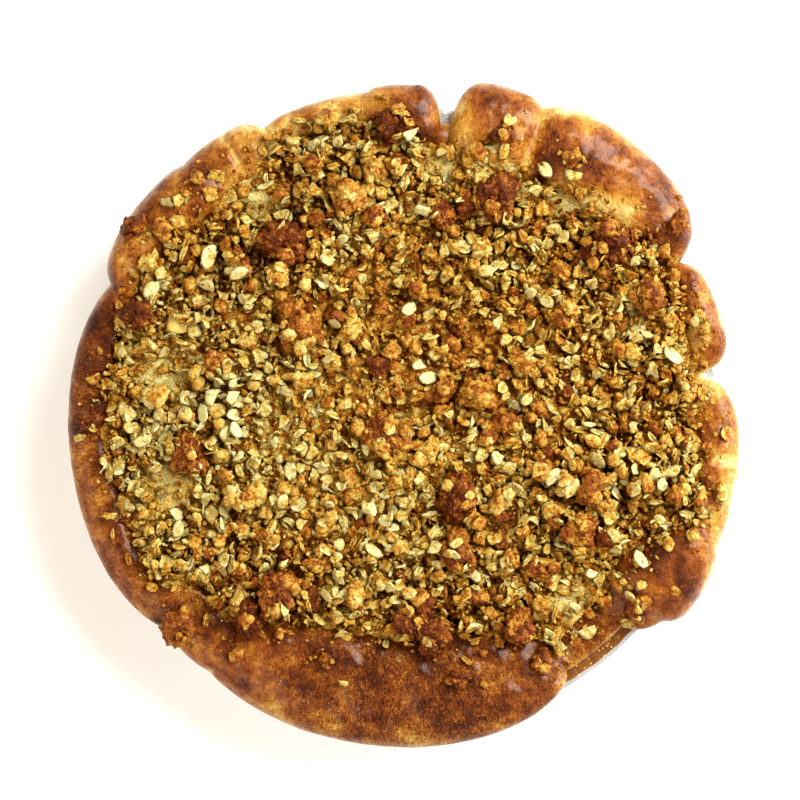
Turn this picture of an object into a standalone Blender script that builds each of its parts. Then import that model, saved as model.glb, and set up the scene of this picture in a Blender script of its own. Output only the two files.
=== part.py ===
# Apple crumble pie baked in a fluted foil tin.
# Metres, +Z up. The origin is the centre of the tin's flat base, on the surface that it stands on.
# Angles run anticlockwise from +X, seen from above, and the pie's front is at -Y.

import math
import random
from collections import namedtuple

import bmesh
import bpy
from mathutils import Euler, Matrix, Vector, noise
from mathutils.bvhtree import BVHTree

MM = 0.001

# The foil tin: a nine inch pie tin, 230 mm over its rolled rim.
RIM_RADIUS = 115.0 * MM
FLANGE_INNER_RADIUS = 103.5 * MM
BASE_RADIUS = 86.0 * MM
FLANGE_HEIGHT = 34.0 * MM
FOIL = 0.6 * MM
FLUTES = 48
FLUTE_DEPTH = 1.5 * MM
BEAD_DROP = 2.6 * MM

# The pastry: it lines the tin, laps over the flange and is folded in over the filling.
GAP = 0.35 * MM
CREASE_RADIUS = 109.0 * MM
CREASE_INNER_RADIUS = 108.5 * MM
LEAST_DOUGH_WIDTH = 6.0 * MM
CREASE_LIFT = 7.0 * MM
FILLING_EDGE_HEIGHT = 37.0 * MM
FILLING_MIDDLE_HEIGHT = 40.0 * MM
MOST_DROOP = 4.5 * MM
DOUGH_SIDES = 84
DOUGH_ARC_STEPS = 7
DOUGH_LUMP = 0.9 * MM
DOUGH_LUMP_SPAN = 17.0 * MM

# Each lobe of dough that hangs out over the flange: the direction of its middle and half its width in
# degrees, how far from the pie's middle it reaches and how high it puffs above the flange, in millimetres.
Lobe = namedtuple("Lobe", "middle half_width reach lift")
LOBES = (
    Lobe(262, 40, 120.5, 14.0),  # the broad flap at the front
    Lobe(222, 16, 119.0, 11.0),  # the tuck beside it
    Lobe(187, 38, 125.0, 11.0),  # the long roll on the left
    Lobe(142, 16, 126.5, 14.5),  # the shoulder, upper left
    Lobe(126, 11, 125.2, 12.0),  # the fold behind it
    Lobe(104, 18, 121.2, 11.0),  # the flat band at the back
    Lobe(92, 8, 122.8, 12.5),  # the small knob at the back
    Lobe(73, 9, 127.0, 14.0),  # the puff beside it
    Lobe(50, 20.5, 130.5, 15.0),  # the broad flap, upper right
    Lobe(20, 11, 120.5, 11.5),  # the knob on the right
    Lobe(342, 26, 122.5, 11.5),  # the long roll on the right
    Lobe(330, 10, 125.0, 15.5),  # the glossy puff that lies over it
)

# Each lap of dough that is folded in over the filling: the direction of its middle and half its width
# in degrees, and how near to the pie's middle it comes, in millimetres.
Lap = namedtuple("Lap", "middle half_width inner")
LAPS = (
    Lap(268, 38, 79.0),
    Lap(230, 17, 95.5),
    Lap(318, 20, 91.5),
    Lap(74, 16, 95.0),
    Lap(55, 18, 98.0),
    Lap(130, 12, 103.5),
    Lap(4, 16, 104.0),
)

# The crumble: a heap of oats and lumps that fills the ring of dough and laps on to it.
HEAP_LAP = 4.5 * MM
HEAP_EDGE_HEIGHT = 43.5 * MM
HEAP_MIDDLE_HEIGHT = 51.5 * MM
HEAP_FLOOR = 35.0 * MM
HEAP_SIDES = 56
HEAP_RINGS = 8
HEAP_BUMP = 2.6 * MM
HEAP_BUMP_SPAN = 10.0 * MM
FLAKE_LENGTH = 8.5 * MM
FLAKE_WIDTH = 5.8 * MM
FLAKE_THICKNESS = 1.3 * MM
FLAKE_SIDES = 6
FLAKES = 60
SMALL_LUMPS = 20
SEED = 11

# The largest lumps of crumble, where they lie and how wide they are, in millimetres.
Lump = namedtuple("Lump", "x y width")
LUMPS = (
    Lump(-44, 64, 17),
    Lump(-39, 35, 18),
    Lump(32, 80, 16),
    Lump(11, 75, 11),
    Lump(21, 77, 11),
    Lump(74, 65, 16),
    Lump(67, 60, 10),
    Lump(27, 10, 15),
    Lump(17, -30, 17),
    Lump(17, -47, 14),
    Lump(-9, -5, 15),
    Lump(-22, 80, 13),
    Lump(-5, 107, 13),
    Lump(-49, -63, 16),
    Lump(-58, -73, 12),
    Lump(4, -70, 11),
    Lump(9, -79, 13),
    Lump(0, -75, 10),
    Lump(41, 20, 10),
    Lump(55, 36, 12),
    Lump(-79, -13, 14),
    Lump(-100, 38, 13),
    Lump(87, 44, 12),
    Lump(62, -40, 13),
    Lump(40, -76, 12),
    Lump(-70, 20, 11),
)

# Lumps and oats that fell on the dough: direction in degrees, distance from the middle, and width.
Crumb = namedtuple("Crumb", "angle radius width")
DOUGH_CRUMBS = (
    Crumb(223, 110, 12),
    Crumb(146, 122, 11),
    Crumb(299, 101, 8),
    Crumb(281, 96, 8),
    Crumb(251, 93, 6),
    Crumb(131, 117, 6),
    Crumb(72, 109, 8),
    Crumb(58, 112, 7),
    Crumb(322, 108, 6),
)

# Cooked apple that shows between the oats: where each piece lies and its length, in millimetres.
Apple = namedtuple("Apple", "x y length turn")
APPLES = (
    Apple(-84, 35, 13, 40),
    Apple(81, 49, 12, -60),
    Apple(89, -10, 11, 15),
    Apple(-61, -62, 11, 100),
)
APPLE_WIDTH = 0.62
APPLE_DEPTH = 0.5
APPLE_SINK = 0.12

COLOURS = {
    "foil_tin": ((0.78, 0.79, 0.80), 0.28, 1.0),
    "pastry": ((0.42, 0.17, 0.045), 0.45, 0.0),
    "crumble": ((0.50, 0.26, 0.06), 0.6, 0.0),
    "apple": ((0.62, 0.50, 0.16), 0.3, 0.0),
}


def clear_scene():
    for obj in list(bpy.data.objects):
        bpy.data.objects.remove(obj, do_unlink=True)


def new_collection(name):
    collection = bpy.data.collections.new(name)
    bpy.context.scene.collection.children.link(collection)
    return collection


def new_material(name):
    colour, roughness, metallic = COLOURS[name]
    material = bpy.data.materials.new(name)
    material.use_nodes = True
    shader = material.node_tree.nodes["Principled BSDF"]
    shader.inputs["Base Color"].default_value = (*colour, 1.0)
    shader.inputs["Roughness"].default_value = roughness
    shader.inputs["Metallic"].default_value = metallic
    return material


def new_object(name, bm, collection, material=None):
    mesh = bpy.data.meshes.new(name)
    bm.to_mesh(mesh)
    bm.free()
    obj = bpy.data.objects.new(name, mesh)
    if material:
        mesh.materials.append(material)
    collection.objects.link(obj)
    return obj


def turned_sheet(profile, sides):
    """The open surface that a profile of (radius, height) points sweeps around Z, from the axis out."""
    bm = bmesh.new()
    points = [bm.verts.new((radius, 0.0, height)) for radius, height in profile]
    edges = [bm.edges.new(pair) for pair in zip(points, points[1:])]
    bmesh.ops.spin(
        bm,
        geom=points + edges,
        axis=(0, 0, 1),
        cent=(0, 0, 0),
        angle=math.tau,
        steps=sides,
        use_merge=True,
    )
    bmesh.ops.remove_doubles(bm, verts=bm.verts, dist=0.01 * MM)
    bmesh.ops.recalc_face_normals(bm, faces=bm.faces)
    return bm


def tin_wall_radius(height):
    share = (height - FOIL) / (FLANGE_HEIGHT - FOIL)
    return BASE_RADIUS + share * (FLANGE_INNER_RADIUS - BASE_RADIUS)


def make_tin(collection):
    """A flat base, a fluted sloping wall, a flat flange and an edge that curls down under itself."""
    low, high = 4.0 * MM, FLANGE_HEIGHT - 3.0 * MM
    profile = (
        (0.0, 0.0),
        (BASE_RADIUS, 0.0),
        (tin_wall_radius(low), low),
        (tin_wall_radius(high), high),
        (FLANGE_INNER_RADIUS, FLANGE_HEIGHT - FOIL),
        (RIM_RADIUS - 2.0 * MM, FLANGE_HEIGHT - FOIL),
        (RIM_RADIUS - FOIL, FLANGE_HEIGHT - 0.5 * BEAD_DROP),
        (RIM_RADIUS - 2.0 * MM, FLANGE_HEIGHT - BEAD_DROP),
    )
    bm = turned_sheet(profile, 2 * FLUTES)
    for vert in bm.verts:
        if low - 0.1 * MM < vert.co.z < high + 0.1 * MM and vert.co.xy.length < FLANGE_INNER_RADIUS:
            step = round(math.atan2(vert.co.y, vert.co.x) * FLUTES / math.pi)
            push = FLUTE_DEPTH * (0.5 if step % 2 else -0.5) / vert.co.xy.length
            vert.co.x += vert.co.x * push
            vert.co.y += vert.co.y * push
    tin = new_object("foil_tin", bm, collection, new_material("foil_tin"))
    wall = tin.modifiers.new("foil", "SOLIDIFY")
    wall.thickness = FOIL
    wall.offset = 1.0
    return tin


def turn_between(angle, middle):
    return (angle - middle + 180.0) % 360.0 - 180.0


def share_at(fold, angle):
    """How much of a fold there is in a direction: 1 at its middle, with round shoulders down to 0."""
    across = abs(turn_between(angle, fold.middle)) / fold.half_width
    return (1.0 - across**4) ** 0.6 if across < 1.0 else 0.0


def rim_at(angle):
    """The dough's outer radius, inner radius and height above the flange in a direction in degrees."""
    reach = max((lobe.reach * MM - CREASE_RADIUS) * share_at(lobe, angle) for lobe in LOBES)
    lift = max((lobe.lift * MM - CREASE_LIFT) * share_at(lobe, angle) for lobe in LOBES)
    inward = max((CREASE_INNER_RADIUS - lap.inner * MM) * share_at(lap, angle) for lap in LAPS)
    outer = CREASE_RADIUS + reach
    inner = min(CREASE_INNER_RADIUS - inward, outer - LEAST_DOUGH_WIDTH)
    return outer, inner, CREASE_LIFT + lift


def rounded(value, power):
    return math.copysign(abs(value) ** power, value)


def dough_section(angle):
    """The pastry's outline in one direction: (radius, height) points from its underside to its top."""
    outer, inner, lift = rim_at(angle)
    rest = FLANGE_HEIGHT + GAP
    least_outer = min(rim_at(angle + turn)[0] for turn in (-5.0, 0.0, 5.0))
    overhang = min(1.0, max(0.0, (least_outer - RIM_RADIUS - 2.0 * MM) / (4.0 * MM)))
    droop = MOST_DROOP * overhang
    last_support = min(outer - 3.0 * MM, RIM_RADIUS + GAP)
    under_lip = last_support + 0.4 * (outer - last_support)
    outer_height = rest + 3.2 * MM - 0.7 * droop
    wall_foot = FOIL + GAP
    clear = 0.5 * FLUTE_DEPTH + 1.2 * FOIL + GAP
    section = [
        (BASE_RADIUS - clear, wall_foot),
        (FLANGE_INNER_RADIUS - clear, FLANGE_HEIGHT - GAP),
        (FLANGE_INNER_RADIUS - 0.3 * clear, rest),
        (last_support, rest),
        (under_lip, rest + 0.3 * MM - droop),
    ]
    middle, half = 0.5 * (outer + inner), 0.5 * (outer - inner)
    for step in range(DOUGH_ARC_STEPS + 1):
        turn = math.pi * step / DOUGH_ARC_STEPS
        share = step / DOUGH_ARC_STEPS
        foot = outer_height * (1.0 - share) + FILLING_EDGE_HEIGHT * share
        puff = FLANGE_HEIGHT + lift - 0.5 * (outer_height + FILLING_EDGE_HEIGHT)
        section.append(
            (
                middle + half * rounded(math.cos(turn), 0.8),
                foot + puff * math.sin(turn) ** 0.75 if 0 < step < DOUGH_ARC_STEPS else foot,
            )
        )
    section.append((0.5 * inner, 0.5 * (FILLING_EDGE_HEIGHT + FILLING_MIDDLE_HEIGHT)))
    return section


def make_pastry(collection):
    """One solid, uncut: the lined base and wall, and the folded rim of puffed dough."""
    bm = bmesh.new()
    rings = []
    for side in range(DOUGH_SIDES):
        angle = 360.0 * side / DOUGH_SIDES
        turn = math.radians(angle)
        ring = []
        for number, (radius, height) in enumerate(dough_section(angle)):
            point = Vector((radius * math.cos(turn), radius * math.sin(turn), height))
            if number > 5:
                point.z += DOUGH_LUMP * noise.noise(point / DOUGH_LUMP_SPAN)
            ring.append(bm.verts.new(point))
        rings.append(ring)
    bottom = bm.verts.new((0, 0, FOIL + GAP))
    top = bm.verts.new((0, 0, FILLING_MIDDLE_HEIGHT))
    for ring, following in zip(rings, rings[1:] + rings[:1]):
        bm.faces.new((bottom, following[0], ring[0]))
        bm.faces.new((top, ring[-1], following[-1]))
        for low in range(len(ring) - 1):
            bm.faces.new((ring[low], following[low], following[low + 1], ring[low + 1]))
    bmesh.ops.triangulate(bm, faces=bm.faces)
    bmesh.ops.recalc_face_normals(bm, faces=bm.faces)
    return new_object("pastry", bm, collection, new_material("pastry"))


def heap_limit(angle):
    """How far out the crumble lies in a direction: a little way up the ring of dough."""
    outer, inner, _ = rim_at(angle)
    return min(inner + HEAP_LAP, 0.5 * (inner + outer))


def heap_height(radius, limit):
    return HEAP_EDGE_HEIGHT + (HEAP_MIDDLE_HEIGHT - HEAP_EDGE_HEIGHT) * (1.0 - (radius / limit) ** 2.2)


def heap_bump(point):
    coarse = noise.noise(point / HEAP_BUMP_SPAN)
    fine = noise.noise(point * 2.3 / HEAP_BUMP_SPAN)
    return HEAP_BUMP * (coarse + 0.6 * fine)


def make_heap(collection):
    """The crumble's core: a low bumpy dome whose edge lies inside the ring of dough."""
    bm = bmesh.new()
    middle = bm.verts.new((0, 0, HEAP_MIDDLE_HEIGHT))
    floor = bm.verts.new((0, 0, HEAP_FLOOR))
    spokes = []
    for side in range(HEAP_SIDES):
        angle = 360.0 * side / HEAP_SIDES
        turn = math.radians(angle)
        limit = heap_limit(angle)
        spoke = []
        for ring in range(1, HEAP_RINGS + 1):
            radius = limit * (ring / HEAP_RINGS) ** 0.85
            point = Vector((radius * math.cos(turn), radius * math.sin(turn), 0.0))
            point.z = heap_height(radius, limit) + heap_bump(point)
            spoke.append(bm.verts.new(point))
        spoke.append(bm.verts.new((point.x, point.y, HEAP_FLOOR)))
        spokes.append(spoke)
    for spoke, following in zip(spokes, spokes[1:] + spokes[:1]):
        bm.faces.new((middle, spoke[0], following[0]))
        bm.faces.new((floor, following[-1], spoke[-1]))
        for low in range(len(spoke) - 1):
            bm.faces.new((spoke[low], spoke[low + 1], following[low + 1], following[low]))
    bmesh.ops.triangulate(bm, faces=bm.faces)
    bmesh.ops.recalc_face_normals(bm, faces=bm.faces)
    return new_object("crumble", bm, collection, new_material("crumble"))


def surface_of(obj):
    bm = bmesh.new()
    bm.from_mesh(obj.data)
    tree = BVHTree.FromBMesh(bm)
    bm.free()
    return tree


def drop_on(surface, x, y):
    """Where a thing dropped at x, y meets the surface, and which way the surface faces there."""
    place, normal, _, _ = surface.ray_cast(Vector((x, y, 0.2)), Vector((0, 0, -1)))
    return (place, normal) if place else (None, None)


def add_lump(collection, place, width, draw, faces_level):
    """A rough ball of baked crumble, a little flattened, with its own uneven outline."""
    bm = bmesh.new()
    bmesh.ops.create_icosphere(bm, subdivisions=faces_level, radius=0.5 * width)
    offset = Vector((draw.uniform(-9, 9), draw.uniform(-9, 9), draw.uniform(-9, 9)))
    for vert in bm.verts:
        vert.co *= 1.0 + 0.45 * noise.noise(vert.co * 2.6 / width + offset)
        vert.co.z *= 0.72
    bm.transform(Matrix.Translation(place) @ Matrix.Rotation(draw.uniform(0, math.tau), 4, "Z"))
    return new_object("lump", bm, collection)


def add_flake(collection, place, normal, draw, size=1.0):
    """One rolled oat: a thin oval plate, lying on the heap or standing in it at a slant."""
    bm = bmesh.new()
    bmesh.ops.create_cone(
        bm, cap_ends=True, segments=FLAKE_SIDES, radius1=0.5, radius2=0.5, depth=FLAKE_THICKNESS * size
    )
    length = FLAKE_LENGTH * size * draw.uniform(0.8, 1.15)
    width = FLAKE_WIDTH * size * draw.uniform(0.8, 1.1)
    bmesh.ops.scale(bm, vec=(length, width, 1.0), verts=bm.verts)
    slant = draw.choice((8, 15, 25, 35, 60))
    lean = Euler((math.radians(draw.uniform(-12, 12)), math.radians(slant), 0.0)).to_matrix().to_4x4()
    spin = Matrix.Rotation(draw.uniform(0, math.tau), 4, "Z")
    lie = normal.to_track_quat("Z", "Y").to_matrix().to_4x4()
    rise = 0.25 * length * math.sin(math.radians(slant)) + 0.5 * MM
    bm.transform(Matrix.Translation(place + normal * rise) @ lie @ spin @ lean)
    return new_object("flake", bm, collection)


def spread(count, limit_at, draw):
    """Evenly spread places on the heap, by a sunflower spiral with a little jitter."""
    for number in range(count):
        angle = math.degrees(number * math.pi * (3.0 - math.sqrt(5.0))) % 360.0
        radius = limit_at(angle) * math.sqrt((number + 0.5) / count)
        turn = math.radians(angle + draw.uniform(-4, 4))
        yield radius * math.cos(turn), radius * math.sin(turn)


def join(target, pieces, solver):
    """Fuses every piece of a collection to the target by one union, then removes the pieces."""
    union = target.modifiers.new("fused", "BOOLEAN")
    union.operation = "UNION"
    union.operand_type = "COLLECTION"
    union.collection = pieces
    union.solver = solver
    apply_modifiers(target)
    for piece in list(pieces.objects):
        bpy.data.objects.remove(piece, do_unlink=True)
    bpy.data.collections.remove(pieces)


def cut(target, cutter, solver):
    cutting = target.modifiers.new("cut", "BOOLEAN")
    cutting.operation = "DIFFERENCE"
    cutting.object = cutter
    cutting.solver = solver
    apply_modifiers(target)
    bpy.data.objects.remove(cutter, do_unlink=True)


def apply_modifiers(obj):
    graph = bpy.context.evaluated_depsgraph_get()
    mesh = bpy.data.meshes.new_from_object(obj.evaluated_get(graph))
    obj.modifiers.clear()
    obj.data = mesh


def grown_copy(obj, by, collection):
    """A copy of a solid whose skin stands out by the clearance that neighbours keep."""
    bm = bmesh.new()
    bm.from_mesh(obj.data)
    bm.normal_update()
    for vert, move in [(vert, vert.normal * by) for vert in bm.verts]:
        vert.co += move
    return new_object(obj.name + "_clearance", bm, collection)


def keep_largest_body(obj):
    """Drops the loose scraps that a cut leaves."""
    bm = bmesh.new()
    bm.from_mesh(obj.data)
    bm.verts.ensure_lookup_table()
    left, bodies = set(bm.verts), []
    while left:
        body, front = set(), [left.pop()]
        while front:
            vert = front.pop()
            body.add(vert)
            linked = [edge.other_vert(vert) for edge in vert.link_edges]
            front += [other for other in linked if other in left]
            left.difference_update(linked)
        bodies.append(body)
    largest = max(bodies, key=len)
    bmesh.ops.delete(bm, geom=[vert for vert in bm.verts if vert not in largest], context="VERTS")
    bm.to_mesh(obj.data)
    bm.free()


def make_apple(number, apple, surface, collection):
    """A soft wedge of cooked apple, most of it sunk among the oats."""
    length = apple.length * MM
    bpy.ops.mesh.primitive_cube_add(size=length)
    wedge = bpy.context.object
    wedge.name = f"apple_piece_{number}"
    wedge.data.name = wedge.name
    for vert in wedge.data.vertices:
        vert.co.y *= APPLE_WIDTH * (0.6 if vert.co.x > 0 else 1.0)
        vert.co.z *= APPLE_DEPTH
    place, _ = drop_on(surface, apple.x * MM, apple.y * MM)
    wedge.location = place - Vector((0, 0, APPLE_SINK * length))
    wedge.rotation_euler = (math.radians(12), math.radians(-9), math.radians(apple.turn))
    soft = wedge.modifiers.new("soft", "SUBSURF")
    soft.levels = soft.render_levels = 1
    bpy.context.view_layer.update()
    graph = bpy.context.evaluated_depsgraph_get()
    mesh = bpy.data.meshes.new_from_object(wedge.evaluated_get(graph))
    mesh.transform(wedge.matrix_world)
    wedge.modifiers.clear()
    wedge.data = mesh
    wedge.matrix_world = Matrix.Identity(4)
    mesh.materials.clear()
    mesh.materials.append(bpy.data.materials.get("apple") or new_material("apple"))
    for holder in list(wedge.users_collection):
        holder.objects.unlink(wedge)
    collection.objects.link(wedge)
    return wedge


def make_crumble(pie, clearance):
    """The heap with its lumps and oats fused on, cut clear of the dough and of the apple."""
    draw = random.Random(SEED)
    heap = make_heap(pie)
    surface = surface_of(heap)
    apples = [make_apple(number, apple, surface, pie) for number, apple in enumerate(APPLES, 1)]
    pieces = new_collection("crumble pieces")

    def near_apple(x, y):
        return any(
            math.hypot(x - apple.x * MM, y - apple.y * MM) < 0.75 * apple.length * MM for apple in APPLES
        )

    for lump in LUMPS:
        place, _ = drop_on(surface, lump.x * MM, lump.y * MM)
        if place and not near_apple(place.x, place.y):
            width = lump.width * MM
            place.z += 0.04 * width
            add_lump(pieces, place, width, draw, 2)
    for x, y in spread(SMALL_LUMPS, lambda angle: rim_at(angle)[1], draw):
        place, _ = drop_on(surface, x, y)
        if place and not near_apple(x, y):
            add_lump(pieces, place, draw.uniform(5.0, 8.5) * MM, draw, 1)
    for x, y in spread(FLAKES, lambda angle: rim_at(angle)[1] + 2.0 * MM, draw):
        place, normal = drop_on(surface, x, y)
        if place and not near_apple(x, y):
            add_flake(pieces, place, normal, draw)
    join(heap, pieces, "EXACT")
    cut(heap, clearance, "MANIFOLD")
    for apple in apples:
        cut(heap, grown_copy(apple, GAP, pie), "MANIFOLD")
        keep_largest_body(heap)
    return heap


def add_dough_crumbs(pastry):
    """The few lumps and oats that fell on the dough and baked on to it."""
    draw = random.Random(SEED + 1)
    surface = surface_of(pastry)
    pieces = new_collection("crumbs on the dough")
    for crumb in DOUGH_CRUMBS:
        turn = math.radians(crumb.angle)
        x, y = crumb.radius * MM * math.cos(turn), crumb.radius * MM * math.sin(turn)
        place, normal = drop_on(surface, x, y)
        add_lump(pieces, place, crumb.width * MM, draw, 2 if crumb.width > 10 else 1)
        aside = draw.choice((-0.8, 0.8)) * crumb.width * MM
        place, normal = drop_on(surface, x - aside * math.sin(turn), y + aside * math.cos(turn))
        add_flake(pieces, place, normal, draw, 0.8)
    join(pastry, pieces, "EXACT")


def main():
    clear_scene()
    pie = new_collection("apple_crumble_pie")
    origin = bpy.data.objects.new("pie_origin", None)
    pie.objects.link(origin)
    tin = make_tin(pie)
    pastry = make_pastry(pie)
    clearance = grown_copy(pastry, GAP, pie)
    add_dough_crumbs(pastry)
    make_crumble(pie, clearance)
    for obj in pie.objects:
        if obj is not origin:
            obj.parent = origin
            obj.data.shade_smooth()
            obj.data.set_sharp_from_angle(angle=math.radians(40))
    tin.data.set_sharp_from_angle(angle=math.radians(15))


main()
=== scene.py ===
# Apple crumble pie in its foil tin. Metres, +Z up, seen from straight above.
import math
import random

import bpy
import numpy as np
from mathutils import Matrix, Vector, noise
from mathutils.bvhtree import BVHTree


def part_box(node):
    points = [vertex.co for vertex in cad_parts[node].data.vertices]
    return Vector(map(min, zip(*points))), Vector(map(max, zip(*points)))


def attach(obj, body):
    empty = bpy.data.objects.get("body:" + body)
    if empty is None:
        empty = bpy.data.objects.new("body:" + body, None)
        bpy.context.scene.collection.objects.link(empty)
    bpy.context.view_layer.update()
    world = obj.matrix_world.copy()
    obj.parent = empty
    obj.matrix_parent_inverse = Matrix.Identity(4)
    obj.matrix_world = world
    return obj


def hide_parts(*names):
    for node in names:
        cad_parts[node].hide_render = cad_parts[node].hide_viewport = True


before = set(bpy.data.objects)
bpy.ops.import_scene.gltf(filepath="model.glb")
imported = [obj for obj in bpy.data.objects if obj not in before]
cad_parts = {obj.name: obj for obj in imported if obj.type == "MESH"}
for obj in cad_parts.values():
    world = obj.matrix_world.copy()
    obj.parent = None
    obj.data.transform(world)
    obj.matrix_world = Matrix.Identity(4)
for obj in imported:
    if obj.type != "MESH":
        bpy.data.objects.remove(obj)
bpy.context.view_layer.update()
mm = 0.001

# one pixel of the photograph is 0.365 mm, and the tin's middle is at this pixel
photo = {"mmPerPixel": 0.365, "tinMiddle": (409, 419), "side": 800}


def startClean():
    if bpy.context.object and bpy.context.object.mode != "OBJECT":
        bpy.ops.object.mode_set(mode="OBJECT")
    bpy.ops.object.select_all(action="DESELECT")


def pick(piece):
    # selects one piece alone
    startClean()
    piece.select_set(True)
    bpy.context.view_layer.objects.active = piece


def editAll(piece):
    # opens one piece in edit mode with all of it selected
    pick(piece)
    bpy.ops.object.mode_set(mode="EDIT")
    bpy.ops.mesh.select_all(action="SELECT")


def smooth(piece, degrees):
    pick(piece)
    bpy.ops.object.shade_smooth_by_angle(angle=math.radians(degrees))


def clamp(value):
    return min(1.0, max(0.0, value))


def awayFrom(x, y, patchX, patchY, spread):
    # 0 in the middle of a round patch, and 1 at 1.4 times its spread
    return ((x - patchX) ** 2 + (y - patchY) ** 2) / (2 * spread**2)


def fractal(point, span):
    # layered noise, about -1 to 1, whose largest bumps are as wide as the span
    return noise.fractal(point / span, 1.0, 2.0, 3)


def steadyVector(point):
    # three noise values, because Blender's own noise_vector isn't the same in every run
    return Vector([noise.noise(point + Vector((shift, 0, 0))) for shift in (9.3, 31.7, 53.1)])


def coordsOf(mesh):
    flat = np.empty(len(mesh.vertices) * 3, np.float32)
    mesh.vertices.foreach_get("co", flat)
    return flat.reshape(-1, 3).astype(float)


def setCoords(mesh, coords):
    mesh.vertices.foreach_set("co", np.ascontiguousarray(coords, np.float32).ravel())
    mesh.update()


def addAttribute(mesh, name, values):
    layer = mesh.attributes.new(name, "FLOAT", "POINT")
    layer.data.foreach_set("value", np.ascontiguousarray(values, np.float32))


# the camera hangs over the middle of the photograph and looks straight down
cameraSetup = {"height": 1.7, "rimHeight": 0.045, "sensor": 36.0}


def addCamera():
    width = photo["side"] * photo["mmPerPixel"] * mm
    middle = photo["side"] / 2
    x = (middle - photo["tinMiddle"][0]) * photo["mmPerPixel"] * mm
    y = (photo["tinMiddle"][1] - middle) * photo["mmPerPixel"] * mm
    bpy.ops.object.camera_add(location=(x, y, cameraSetup["height"]), rotation=(0, 0, 0))
    camera = bpy.context.object
    camera.data.sensor_width = cameraSetup["sensor"]
    camera.data.lens = cameraSetup["sensor"] * (cameraSetup["height"] - cameraSetup["rimHeight"]) / width
    camera.data.clip_end = 10
    bpy.context.scene.camera = camera


# a window high at the upper right, a long low one along the right that glances off the crust, a pale fill,
# and a room that is darker overhead than at its walls
lights = {
    "window": {"place": (0.66, 0.47, 0.92), "size": (0.78, 0.78), "watts": 20.0, "colour": (0.93, 0.975, 0.97)},
    "low window": {"place": (1.0, 0.22, 0.28), "size": (1.3, 0.16), "watts": 8.0, "colour": (0.76, 0.85, 1.0)},
    "fill": {"place": (-0.7, -0.5, 0.8), "size": (1.1, 1.1), "watts": 7.5, "colour": (1.0, 0.93, 0.84)},
    "room": {"overhead": (0.34, 0.275, 0.215), "walls": (0.74, 0.63, 0.53)},
}


def addLights():
    for name in ("window", "low window", "fill"):
        setup = lights[name]
        bpy.ops.object.light_add(type="AREA", location=setup["place"])
        lamp = bpy.context.object
        lamp.name = name
        lamp.data.shape = "RECTANGLE"
        lamp.data.size, lamp.data.size_y = setup["size"]
        lamp.data.energy = setup["watts"]
        lamp.data.color = setup["colour"]
        lamp.rotation_euler = Vector(setup["place"]).to_track_quat("Z", "Y").to_euler()
    world = bpy.data.worlds.new("room")
    bpy.context.scene.world = world
    world.use_nodes = True
    tree = world.node_tree
    way = addNode(tree, "ShaderNodeTexCoord").outputs["Generated"]
    split = addNode(tree, "ShaderNodeSeparateXYZ", {0: way})
    stops = ((0.15, lights["room"]["walls"]), (0.85, lights["room"]["overhead"]))
    tree.links.new(addRamp(tree, split.outputs["Z"], stops), tree.nodes["Background"].inputs["Color"])
    bpy.context.scene.view_settings.view_transform = "Standard"
    bpy.context.scene.view_settings.look = "High Contrast"


def newMaterial(name):
    material = bpy.data.materials.new(name)
    material.use_nodes = True
    return material, material.node_tree


def addNode(tree, kind, inputs=None, **settings):
    node = tree.nodes.new(kind)
    for key, value in settings.items():
        setattr(node, key, value)
    for key, value in (inputs or {}).items():
        if isinstance(value, bpy.types.NodeSocket):
            tree.links.new(value, node.inputs[key])
        else:
            node.inputs[key].default_value = value
    return node


def addRamp(tree, factor, stops):
    node = addNode(tree, "ShaderNodeValToRGB", {"Fac": factor})
    ramp = node.color_ramp
    while len(ramp.elements) > 1:
        ramp.elements.remove(ramp.elements[-1])
    ramp.elements[0].position = stops[0][0]
    ramp.elements[0].color = (*stops[0][1], 1)
    for place, colour in stops[1:]:
        ramp.elements.new(place).color = (*colour, 1)
    return node.outputs["Color"]


def mathNode(tree, operation, first, second):
    return addNode(tree, "ShaderNodeMath", {0: first, 1: second}, operation=operation).outputs[0]


def added(tree, first, *others):
    for other in others:
        first = mathNode(tree, "ADD", first, other)
    return first


def vectorNode(tree, operation, first, second=(0.0, 0.0, 0.0)):
    return addNode(tree, "ShaderNodeVectorMath", {0: first, 1: second}, operation=operation).outputs[0]


def noiseNode(tree, place, scale, detail, rough):
    names = {"Vector": place, "Scale": scale, "Detail": detail, "Roughness": rough}
    return addNode(tree, "ShaderNodeTexNoise", names).outputs["Fac"]


def bumpNode(tree, height, strength, distance, under=None, invert=False):
    # raises the surface by a 0 to 1 height, on top of the bumps under it. The distance is in metres
    names = {"Height": height, "Strength": strength, "Distance": distance}
    if under:
        names["Normal"] = under
    return addNode(tree, "ShaderNodeBump", names, invert=invert).outputs["Normal"]


def setShader(tree, **values):
    # each name is a socket's name with _ for a space. A node's output is linked, and any other value is set
    shader = tree.nodes["Principled BSDF"]
    for name, value in values.items():
        socket = shader.inputs[name.replace("_", " ")]
        if isinstance(value, bpy.types.NodeSocket):
            tree.links.new(value, socket)
        else:
            socket.default_value = value


def attributeNode(tree, name):
    return addNode(tree, "ShaderNodeAttribute", attribute_name=name).outputs["Fac"]


def objectPlace(tree):
    return addNode(tree, "ShaderNodeTexCoord").outputs["Object"]


floorSetup = {"side": 4.0, "colour": (0.88, 0.92, 0.95), "rough": 0.9}


def addFloor():
    startClean()
    bpy.ops.mesh.primitive_plane_add(size=floorSetup["side"], location=(0, 0, 0))
    floor = bpy.context.object
    floor.name = "floor"
    material, tree = newMaterial("pale floor")
    setShader(tree, Base_Color=(*floorSetup["colour"], 1), Roughness=floorSetup["rough"])
    floor.data.materials.append(material)


addCamera()
addLights()
addFloor()
print("camera, lights and floor are in place")


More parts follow.
